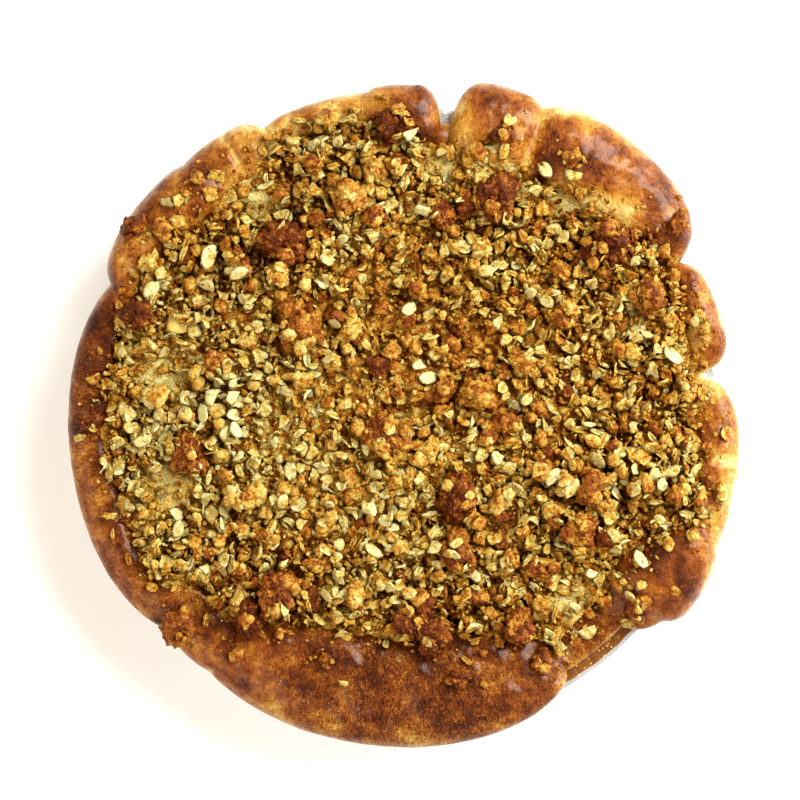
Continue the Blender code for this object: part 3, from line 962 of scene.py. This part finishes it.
def modelOat(seed, wide, thick, curl, ruffle, broken, creased=True):
    # a rolled oat is an oval plate with a crease along its middle. Sizes are shares of its length
    draw = random.Random(seed)
    startClean()
    bpy.ops.mesh.primitive_uv_sphere_add(segments=16, ring_count=4, radius=0.5)
    piece = bpy.context.object
    coords = coordsOf(piece.data)
    curl *= draw.choice((-1, 1)) * draw.uniform(0.5, 1.0)
    twist, roll = draw.uniform(-0.4, 0.4), curl * draw.uniform(-0.8, 0.8)
    offset = Vector((seed * 3.1, 0, 0))
    ends = np.abs(coords[:, 0]) * 2
    for number, (x, y, z) in enumerate(coords):
        swing = 1 + ruffle * noise.noise(Vector((x, y, 0)) * 2.8 + offset)
        level = z * thick * (1 - 0.3 * ends[number])
        groove = math.exp(-((y / 0.12) ** 2)) * (1 - ends[number] ** 2)
        level -= 0.075 * groove * (1 if z >= 0 else -0.2) * creased
        bend = curl * (4 * x * x - 0.3) * 0.5 + roll * 4 * y * y + twist * x * y
        wave = (0.05 + 0.16 * ruffle) * noise.noise(Vector((x, y, z)) * 4 + offset)
        coords[number] = (x * swing, y * wide * swing, level + bend + wave)
    setCoords(piece.data, coords)
    if broken:
        editAll(piece)
        bpy.ops.mesh.bisect(
            plane_co=(draw.uniform(0.04, 0.2), 0, 0),
            plane_no=(1, draw.uniform(-0.8, 0.8), 0),
            use_fill=True,
            clear_outer=True,
        )
        bpy.ops.object.mode_set(mode="OBJECT")
    model = takeModel(piece)
    final = model["coords"]
    if broken:
        final[:, 0] -= 0.5 * (final[:, 0].max() + final[:, 0].min())
        final /= 0.8
    # the distance from the crease, kept as the across attribute, is what the material uses to paint shade into the
    # crease
    model["across"] = np.clip(np.abs(final[:, 1]) / (0.5 * wide), 0, 1) if creased else np.ones(len(final))
    model["top"] = np.clip(0.5 + final[:, 2] / (2 * thick), 0, 1)
    return model


def modelShard(seed, fine, cuts, rough=0.10):
    # an angular crumb: a ball cut by random flat faces
    draw = random.Random(seed)
    startClean()
    bpy.ops.mesh.primitive_ico_sphere_add(subdivisions=fine, radius=0.5)
    piece = bpy.context.object
    coords = coordsOf(piece.data)
    planes = []
    for _ in range(cuts):
        normal = Vector([draw.gauss(0, 1) for _ in range(3)]).normalized()
        planes.append((normal, draw.uniform(0.27, 0.48)))
    offset = Vector((seed * 1.7, 4.0, 2.0))
    stretch, low = draw.uniform(0.5, 0.95), draw.uniform(0.34, 0.85)
    for number, place in enumerate(coords):
        way = Vector(place).normalized()
        away = 0.56
        for normal, depth in planes:
            facing = way.dot(normal)
            if facing > 0.05:
                away = min(away, depth / facing)
        away *= 1 + rough * noise.noise(way * 5 + offset)
        coords[number] = (way.x * away, way.y * away * stretch, way.z * away * low)
    setCoords(piece.data, coords)
    model = takeModel(piece)
    model["across"] = np.full(len(coords), 0.6)
    model["top"] = np.clip(0.5 + model["coords"][:, 2] / low, 0, 1)
    return model


def modelLump(seed, fine, cells):
    # a clump of crumble: grains of many sizes stuck in a rough ball
    draw = random.Random(seed)
    startClean()
    bpy.ops.mesh.primitive_ico_sphere_add(subdivisions=fine, radius=0.5)
    piece = bpy.context.object
    coords = coordsOf(piece.data)
    offset = Vector((seed * 2.3, 1.0, 7.0))
    stretch, low = draw.uniform(0.74, 1.0), draw.uniform(0.68, 0.86)
    knobs, shift = np.zeros(len(coords)), np.zeros(len(coords))
    for number, (x, y, z) in enumerate(coords):
        point = Vector((x, y, z))
        bent = point + 0.12 * steadyVector(point * 3 + offset)
        away, spots = noise.voronoi(bent * cells + offset)
        step = 0.5 + 0.5 * noise.cell(spots[0] * 7.3)
        border = min(1.0, (away[1] - away[0]) / 0.28)
        dome = math.sqrt(max(0.0, 1 - (away[0] / 0.8) ** 2))
        small = noise.voronoi(point * cells * 2.7 + offset)[0]
        fleck = min(1.0, (small[1] - small[0]) / 0.4)
        knob = 0.5 * dome + 0.5 * border**0.7
        # the knob height, kept as the across attribute, is what the material uses to paint shade into the hollows
        # between knobs
        knobs[number] = 0.6 * knob + 0.4 * fleck
        grow = 0.70 + 0.52 * noise.noise(point * 1.7 + offset) + 0.30 * knob * (0.4 + step)
        grow += 0.06 * fleck + 0.06 * noise.noise(point * 9 + offset) + 0.04 * noise.noise(point * 19 + offset)
        shift[number] = 0.17 * noise.cell(spots[0] * 3.1 + offset)
        coords[number] = (x * grow, y * grow * stretch, z * grow * low)
    setCoords(piece.data, coords)
    model = takeModel(piece)
    model["across"] = knobs
    model["shift"] = shift
    model["top"] = np.clip(0.5 + model["coords"][:, 2] / low, 0, 1)
    return model


def joinCopies(name, models, placed, material, flat=False):
    # one mesh from many placed copies. A placed copy is (model, place in mm, turn, size in mm, tone)
    coords, faces = [], []
    attributes = {"tone": [], "across": [], "top": []}
    count = 0
    for which, place, turn, size, tone in placed:
        model = models[which]
        moved = model["coords"] @ (np.array(turn).T * size) + np.array(place)
        coords.append(moved * mm)
        faces.append(model["faces"] + count)
        attributes["tone"].append(tone + model.get("shift", np.zeros(len(moved))))
        attributes["across"].append(model["across"])
        attributes["top"].append(model["top"])
        count += len(moved)
    coords, faces = np.concatenate(coords), np.concatenate(faces)
    mesh = bpy.data.meshes.new(name)
    mesh.vertices.add(len(coords))
    mesh.vertices.foreach_set("co", coords.astype(np.float32).ravel())
    mesh.loops.add(len(faces) * 3)
    mesh.loops.foreach_set("vertex_index", faces.astype(np.int32).ravel())
    mesh.polygons.add(len(faces))
    mesh.polygons.foreach_set("loop_start", np.arange(0, len(faces) * 3, 3, dtype=np.int32))
    mesh.update(calc_edges=True)
    mesh.validate()
    for attribute, values in attributes.items():
        addAttribute(mesh, attribute, np.concatenate(values))
    if flat:
        mesh.shade_flat()
    else:
        mesh.shade_smooth()
    mesh.materials.append(material)
    piece = bpy.data.objects.new(name, mesh)
    bpy.context.scene.collection.objects.link(piece)
    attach(piece, "root")
    print(name, len(placed), "copies,", len(faces), "triangles")


def turnTo(normal, lean, draw):
    # turns a thing to lie along a slope, spun at random and leaned over by some degrees
    lie = normal.to_track_quat("Z", "Y").to_matrix()
    spin = Matrix.Rotation(draw.uniform(0, math.tau), 3, "Z")
    tip = Matrix.Rotation(math.radians(lean), 3, "Y") @ Matrix.Rotation(math.radians(draw.uniform(-14, 14)), 3, "X")
    return lie @ spin @ tip


def randomPlace(draw, overhang):
    # an even random place on the heap, in mm
    while True:
        x, y = draw.uniform(-116, 116), draw.uniform(-116, 116)
        inside = math.hypot(x, y) < float(heapLimit(x, y)) - crumble["lap"] + overhang
        if inside and draw.random() > 0.8 * creamAt(x, y):
            return x, y


def lowestOf(draw, tries, overhang):
    return min((randomPlace(draw, overhang) for _ in range(tries)), key=lambda place: ground.at(*place))


def strayPlace(draw, most):
    # a random place on the dough, more often near the heap and on the upper left shoulder
    while True:
        angle = draw.uniform(0, 360)
        if 150 < angle < 300 and draw.random() < 0.6:
            continue
        spread = 1.7 * most if 96 < angle < 150 else most
        radius = heapLimitAt(angle) - 3.0 + draw.expovariate(1 / spread)
        if radius < rimAt(angle)[0] - 4.0:
            return radius * math.cos(math.radians(angle)), radius * math.sin(math.radians(angle))


# the kinds of thing in the heap: how many, how long in mm, how many stray onto the dough, the tone and how much
# it varies, the most that one leans over in degrees and the share of its height that sinks in
kinds = {
    "lumps": {"count": 138, "size": (5.2, 10.8), "stray": 8, "tone": (0.39, 0.11), "lean": 0, "sink": 0.22},
    "knobs": {"count": 400, "size": (3.6, 6.4), "stray": 24, "tone": (0.37, 0.12), "lean": 0, "sink": 0.16},
    "grains": {"count": 2260, "size": (2.0, 4.4), "stray": 70, "tone": (0.40, 0.12), "lean": 50, "sink": 0.2},
    "fines": {"count": 9250, "size": (1.0, 2.4), "stray": 500, "tone": (0.44, 0.13), "lean": 60, "sink": 0.15},
    "oats": {"count": 2080, "size": (4.4, 7.2), "stray": 130, "tone": (0.265, 0.14)},
}
oatLeans = (0, 5, 10, 16, 24, 36, 58, 80)
paleBelow = 0.36  # an oat with a lower tone than this is a pale one
largeFrom = 8.2  # a lump longer than this, in mm, gets one of the finer models

# clumps baked onto the dough: direction in degrees, distance from the middle and width in mm, and tone
strayClumps = (
    (222, 113, 15, 0.66),
    (145, 123, 11, 0.84),
    (36, 121, 9, 0.80),
    (320, 109, 9, 0.72),
    (299, 101, 8, 0.62),
    (281, 96, 8, 0.74),
    (251, 93, 6, 0.70),
    (131, 117, 6, 0.52),
    (72, 109, 8, 0.86),
    (58, 112, 7, 0.56),
    (322, 108, 6, 0.50),
)

# large smooth flakes: x, y and length in mm, the way they point in degrees, and tone
wideFlakes = (
    (-73, 59, 10.0, -14, 0.06),
    (-94, 47, 8.6, -30, 0.02),
    (-62, 53, 8.0, 24, 0.12),
    (7, 15, 8.0, 70, -0.06),
    (-13, -48, 8.4, 10, 0.02),
    (0, 40, 7.0, 80, 0.10),
    (52, -21, 8.2, 12, 0.02),
    (-75, 2, 8.0, 8, -0.02),
    (96, 23, 9.0, 14, 0.04),
    (84, -51, 8.0, 20, 0.06),
    (39, -25, 7.0, -10, 0.14),
    (-97, -8, 7.6, -12, 0.06),
    (50, 43, 7.4, 60, 0.12),
    (69, -15, 8.2, -36, 0.10),
    (-29, 22, 6.6, -40, 0.14),
    (-30, -64, 7.0, 30, 0.10),
    (28, 54, 7.2, -70, 0.10),
    (-46, -30, 7.2, 50, 0.12),
    (92, -24, 7.2, 70, 0.02),
    (-84, -40, 7.0, 5, 0.10),
)


# layers from the bottom: how much darker the layer is, painted shade that darkens the lower layers and lightens the
# top one, then the share of each kind that lies in it.
# Each thing goes to the lowest of some places tried
layers = (
    (0.24, 0.24, 0.0, 0.10, 0.30, 0.18),
    (0.10, 0.24, 0.15, 0.20, 0.28, 0.26),
    (0.00, 0.22, 0.60, 0.40, 0.22, 0.26),
    (-0.07, 0.30, 0.25, 0.30, 0.20, 0.30),
)
layerTries = {"fines": 2, "lumps": 1, "knobs": 1, "grains": 3, "oats": 2}

# nothing lies below the lowest level, in mm, or stands on a slope past the steepest. The foot and the disc are
# the shares of a thing's size that it rests on and that it raises the ground by
laying = {"lowest": 36, "steepest": 0.45, "foot": 0.34, "disc": 0.40, "steepOat": 30, "oatSink": 0.25}

# how the clumps on the dough and the large lumps lie: how far they sink in, how much wider the large lumps are
# than in their list, and the grains round each clump
clumpSink, lumpSink, lumpGrow, lumpTone = 0.06, 0.27, 1.08, -0.02
clumpGrains = {"count": 5, "spread": 0.42, "tone": -0.55}


def layCrumble():
    draw = random.Random(5)
    placed = {name: [] for name in ("bigLumps", "lumps", "knobs", "grains", "fines", "paleOats", "toastedOats")}
    oats = []
    for seed in range(18):
        wide, curl = draw.uniform(0.56, 0.78), 0.11
        if seed in (1, 4, 9, 13, 15):  # narrow slivers
            wide, curl = draw.uniform(0.24, 0.38), 0.34
        if seed in (6, 11, 16):  # curled ones
            wide, curl = draw.uniform(0.6, 0.8), 0.36
        ruffle = 0.55 if seed % 3 == 0 else 0.24
        oats.append(modelOat(seed, wide, draw.uniform(0.13, 0.20), curl, ruffle, seed % 3 == 2))
    smoothOat, fineLumps = len(oats), 12
    oats.append(modelOat(50, 0.62, 0.12, 0.10, 0.26, False, False))
    lumps = []
    for number in range(2 * fineLumps):
        seed = number % fineLumps
        lumps.append(modelLump(seed + 60, 4 if number < fineLumps else 3, 3.2 + 0.5 * (seed % 4)))
    models = {
        "bigLumps": [modelLump(seed, 5, 5.0 + seed % 3) for seed in range(len(crumble["lumps"]))],
        "lumps": lumps,
        "knobs": [modelLump(seed + 90, 3, 2.2 + 0.4 * (seed % 4)) for seed in range(14)],
        "grains": [modelShard(seed, 2, 12, 0.34) for seed in range(20)],
        "fines": [modelShard(seed + 30, 1, 6) for seed in range(12)],
        "paleOats": oats,
        "toastedOats": oats,
    }
    print("the small models are ready")

    def settle(kind, which, x, y, size, tone, lean, sink, pointing=None):
        # lays one thing on what is there, and leaves it out if it would stand too high
        coords = models[kind][which]["coords"]
        level, slope = ground.seat(x, y, laying["foot"] * size)
        if level < laying["lowest"]:
            return
        if slope.z < laying["steepest"]:
            slope = (slope + Vector((0, 0, 0.4))).normalized()
        turn = turnTo(slope, lean, draw)
        if pointing is not None:
            turn = slope.to_track_quat("Z", "Y").to_matrix() @ Matrix.Rotation(math.radians(pointing), 3, "Z")
        heights = coords @ np.array(turn)[2] * size
        thickness = float(heights.max() - heights.min())
        place = Vector((x, y, level - float(heights.min()) - sink * thickness))
        top = place.z + float(heights.max())
        if top > crumble["cap"]:
            place.z -= top - crumble["cap"]
            top = crumble["cap"]
            if top - 0.45 * thickness < level:
                return
        placed[kind].append((which, place, turn, size, tone))
        ground.raiseDisc(x, y, laying["disc"] * size, top - 0.08 * thickness, min(0.6 * thickness, 0.5 * size))

    def layOne(kind, place, deep):
        x, y = place
        setup = kinds[kind]
        low, high = setup["size"]
        size = low + (high - low) * draw.random() ** 1.3
        usual, swing = setup["tone"]
        # painted shade: deep is the darkening of the layer a thing lies in; for the grains round a clump it carries
        # the clump's own tone instead
        tone = deep + toneShift(x, y) + usual
        if kind == "oats":
            tone += draw.gauss(0, swing)
            lean = draw.choice(oatLeans)
            kind = "paleOats" if tone < paleBelow else "toastedOats"
            sink = 0.0 if lean < laying["steepOat"] else laying["oatSink"]
            settle(kind, draw.randrange(smoothOat), x, y, size, tone, lean, sink)
            return
        if kind == "lumps":
            which = draw.randrange(fineLumps) + (0 if size > largeFrom else fineLumps)
        else:
            which = draw.randrange(len(models[kind]))
        tone += draw.gauss(0, swing)
        lean = draw.uniform(0, setup["lean"]) if setup["lean"] else 0
        settle(kind, which, x, y, size, tone, lean, setup["sink"])

    for angle, radius, width, tone in strayClumps:
        x, y = radius * math.cos(math.radians(angle)), radius * math.sin(math.radians(angle))
        settle("lumps", draw.randrange(fineLumps), x, y, width, tone, 0, clumpSink)
        spread = clumpGrains["spread"] * width
        for _ in range(clumpGrains["count"]):
            layOne("grains", (x + draw.gauss(0, spread), y + draw.gauss(0, spread)), tone + clumpGrains["tone"])
    for number, shares in enumerate(layers):
        if number == 2:
            for which, (x, y, width, tone) in enumerate(crumble["lumps"]):
                settle("bigLumps", which, x, y, lumpGrow * width, tone + lumpTone, 0, lumpSink)
        for (kind, tries), share in zip(layerTries.items(), shares[1:]):
            for _ in range(round(kinds[kind]["count"] * share)):
                layOne(kind, lowestOf(draw, tries, -4.0 if kind == "lumps" else 0.4), shares[0])
    # things strayed onto the dough get a little of the painted layer shade
    for kind in ("fines", "grains", "oats", "knobs", "lumps"):
        for _ in range(kinds[kind]["stray"]):
            layOne(kind, strayPlace(draw, 2.5 if kind == "lumps" else 5.0), 0.04)
    for x, y, size, pointing, tone in wideFlakes:
        settle("paleOats", smoothOat, x, y, size, tone, 0, 0.0, pointing)
    for name, kind, finish, look in (
        ("large_lumps", "bigLumps", "toasted clumps", clumpLook),
        ("small_lumps", "lumps", "small clumps", clumpLook),
        ("crumble_knobs", "knobs", "round crumbs", clumpLook),
        ("crumble_grains", "grains", "crumbs", crumbLook),
        ("fine_crumbs", "fines", "fine crumbs", crumbLook),
        ("pale_oats", "paleOats", "pale oats", oatLook),
        ("toasted_oats", "toastedOats", "toasted oats", oatLook),
    ):
        joinCopies(name, models[kind], placed[kind], crumbleMaterial(finish, look), flat=kind == "fines")


# from pale oat through gold to dark toast, and the warmer colours of the buttery clumps
toastColours = (
    (0.0, (0.640, 0.595, 0.33)),
    (0.16, (0.585, 0.480, 0.185)),
    (0.32, (0.530, 0.370, 0.084)),
    (0.48, (0.445, 0.236, 0.031)),
    (0.64, (0.34, 0.125, 0.011)),
    (0.82, (0.225, 0.062, 0.005)),
    (1.0, (0.115, 0.024, 0.002)),
)
clumpColours = (
    (0.0, (0.64, 0.58, 0.30)),
    (0.16, (0.585, 0.455, 0.160)),
    (0.32, (0.520, 0.340, 0.074)),
    (0.48, (0.425, 0.216, 0.032)),
    (0.64, (0.310, 0.114, 0.014)),
    (0.82, (0.200, 0.056, 0.007)),
    (1.0, (0.100, 0.023, 0.002)),
)

# how a material's tone swings in patches and specks, how much darker its upper side is (toasted on the clumps), and
# how much painted shade darkens its hollows
clumpLook = {
    "colours": clumpColours,
    "patch": (260, 1.15),
    "speck": (1200, 1.3),
    "top": 0.30,
    "hollowShade": 0.30,
    "edge": 0.45,
    "rough": 0.36,
}
crumbLook = {
    "colours": toastColours,
    "patch": (380, 1.3),
    "speck": (1500, 1.5),
    "top": 0.06,
    "hollowShade": 0.0,
    "edge": 0.3,
    "rough": 0.5,
}
oatLook = {
    "colours": toastColours,
    "patch": (340, 1.2),
    "speck": (1400, 1.5),
    "top": -0.05,
    "hollowShade": 0.20,
    "edge": 0.35,
    "rough": 0.42,
}


def crumbleMaterial(name, look):
    material, tree = newMaterial(name)
    place = objectPlace(tree)
    patch = noiseNode(tree, place, look["patch"][0], 3, 0.6)
    speck = noiseNode(tree, place, look["speck"][0], 3, 0.7)
    tone = added(tree, attributeNode(tree, "tone"), centred(tree, patch, look["patch"][1]))
    tone = added(tree, tone, centred(tree, speck, look["speck"][1]))
    tone = added(tree, tone, centred(tree, attributeNode(tree, "top"), look["top"]))
    # painted shade: the tone darkens towards the low end of the across attribute, in the hollows between a clump's
    # knobs and in an oat's crease
    if look["hollowShade"]:
        tone = added(tree, tone, ramped(tree, attributeNode(tree, "across"), 0.0, look["edge"], look["hollowShade"], 0.0))
    bump = bumpNode(tree, speck, 0.8, 0.0010, bumpNode(tree, patch, 0.7, 0.0020))
    setShader(tree, Base_Color=addRamp(tree, tone, look["colours"]), Roughness=look["rough"], Normal=bump)
    setShader(tree, Specular_IOR_Level=0.30, Subsurface_Scale=1.0)
    setShader(tree, Subsurface_Weight=0.06, Subsurface_Radius=(0.0015, 0.0008, 0.0003))
    return material


def makeBed():
    # the core of the heap, under the loose pieces, coloured dark brown as painted shade where it shows in the gaps
    # between them
    startClean()
    count = crumble["cells"]
    bpy.ops.mesh.primitive_grid_add(x_subdivisions=count, y_subdivisions=count, size=234 * mm)
    piece = bpy.context.object
    piece.name = "crumble_bed"
    mesh = piece.data
    coords = coordsOf(mesh)
    away = np.hypot(coords[:, 0], coords[:, 1]) / mm
    outside = away > heapLimit(coords[:, 0], coords[:, 1])
    bpy.ops.object.mode_set(mode="EDIT")
    bpy.ops.mesh.select_mode(type="VERT")
    bpy.ops.mesh.select_all(action="DESELECT")
    bpy.ops.object.mode_set(mode="OBJECT")
    mesh.vertices.foreach_set("select", outside)
    bpy.ops.object.mode_set(mode="EDIT")
    bpy.ops.mesh.delete(type="VERT")
    bpy.ops.object.mode_set(mode="OBJECT")
    coords = coordsOf(mesh)
    tones = np.zeros(len(coords))
    for number, (x, y, _) in enumerate(coords / mm):
        point = Vector((x, y, 0))
        near, cells = noise.voronoi(point / 3.0)
        knob = math.sqrt(max(0.0, 1 - (near[0] / 0.8) ** 2))
        rough = fractal(point, 3.0)
        cream = creamAt(x, y)
        level = heapHeight(x, y) + (1 - cream) * (1.5 * knob - 1.2 + 0.5 * rough) + 1.2 * cream
        coords[number] = (x * mm, y * mm, level * mm)
        # painted shade: the bed's tone is dark overall and darker between its knobs than on them; the region tone
        # and the cell noise are the crumble's own variation
        baked = 0.72 - 0.28 * knob - 0.14 * rough + 0.12 * noise.cell(cells[0] * 5.1) + 0.6 * toneShift(x, y)
        tones[number] = (1 - cream) * baked + 0.12 * cream
    setCoords(mesh, coords)
    addAttribute(mesh, "tone", tones)
    bpy.ops.object.mode_set(mode="EDIT")
    bpy.ops.mesh.select_all(action="SELECT")
    bpy.ops.mesh.region_to_loop()
    bpy.ops.mesh.extrude_region_move(TRANSFORM_OT_translate={"value": (0, 0, -0.004)})
    bpy.ops.mesh.edge_face_add()
    bpy.ops.mesh.select_all(action="SELECT")
    bpy.ops.mesh.normals_make_consistent(inside=False)
    bpy.ops.object.mode_set(mode="OBJECT")
    addAttribute(mesh, "top", np.full(len(mesh.vertices), 0.5))
    mesh.materials.append(crumbleMaterial("crumble bed", crumbLook))
    smooth(piece, 70)
    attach(piece, "root")
    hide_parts("crumble")
    print("crumble_bed", len(mesh.polygons), "faces")


# cooked apple that shows between the oats
appleShape = {"cuts": 5, "round": 0.30, "rough": 0.085, "sag": 0.06, "share": 0.95, "pieces": 4}
appleColours = ((0.34, (0.40, 0.19, 0.03)), (0.46, (0.54, 0.37, 0.085)), (0.6, (0.62, 0.50, 0.18)))


def makeApple(number, material):
    node = f"apple_piece_{number}"
    low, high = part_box(node)
    middle, size = (Vector(low) + Vector(high)) / 2, Vector(high) - Vector(low)
    startClean()
    bpy.ops.mesh.primitive_cube_add(size=1.0)
    piece = bpy.context.object
    piece.name = f"cooked_apple_{number}"
    bpy.ops.object.mode_set(mode="EDIT")
    bpy.ops.mesh.select_all(action="SELECT")
    bpy.ops.mesh.bevel(offset=appleShape["round"], segments=4, affect="EDGES")
    bpy.ops.mesh.select_all(action="SELECT")
    bpy.ops.mesh.subdivide(number_cuts=appleShape["cuts"])
    bpy.ops.object.mode_set(mode="OBJECT")
    coords = coordsOf(piece.data)
    for index, place in enumerate(coords):
        point = Vector(place)
        grow = 1 + appleShape["rough"] * (fractal(point + Vector((number * 3, 0, 0)), 0.7) * 1.6)
        point.z += appleShape["sag"] * math.sin(3 * point.x + number)
        coords[index] = middle + point * size * grow * appleShape["share"]
    setCoords(piece.data, coords)
    piece.data.materials.append(material)
    smooth(piece, 50)
    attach(piece, "root")
    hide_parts(node)


def appleMaterial():
    material, tree = newMaterial("cooked apple")
    place = objectPlace(tree)
    cloud = noiseNode(tree, place, 260, 3, 0.6)
    fibre = noiseNode(tree, place, 1300, 2, 0.6)
    colour = addRamp(tree, added(tree, cloud, centred(tree, fibre, 0.3)), appleColours)
    setShader(tree, Base_Color=colour, Normal=bumpNode(tree, fibre, 0.35, 0.0003), Roughness=0.24)
    setShader(tree, Specular_IOR_Level=0.5, Subsurface_Scale=1.0)
    setShader(tree, Subsurface_Weight=0.35, Subsurface_Radius=(0.004, 0.003, 0.001))
    return material


appleFinish = appleMaterial()
for number in range(1, appleShape["pieces"] + 1):
    makeApple(number, appleFinish)
print("apple is in place")
makeBed()
layCrumble()
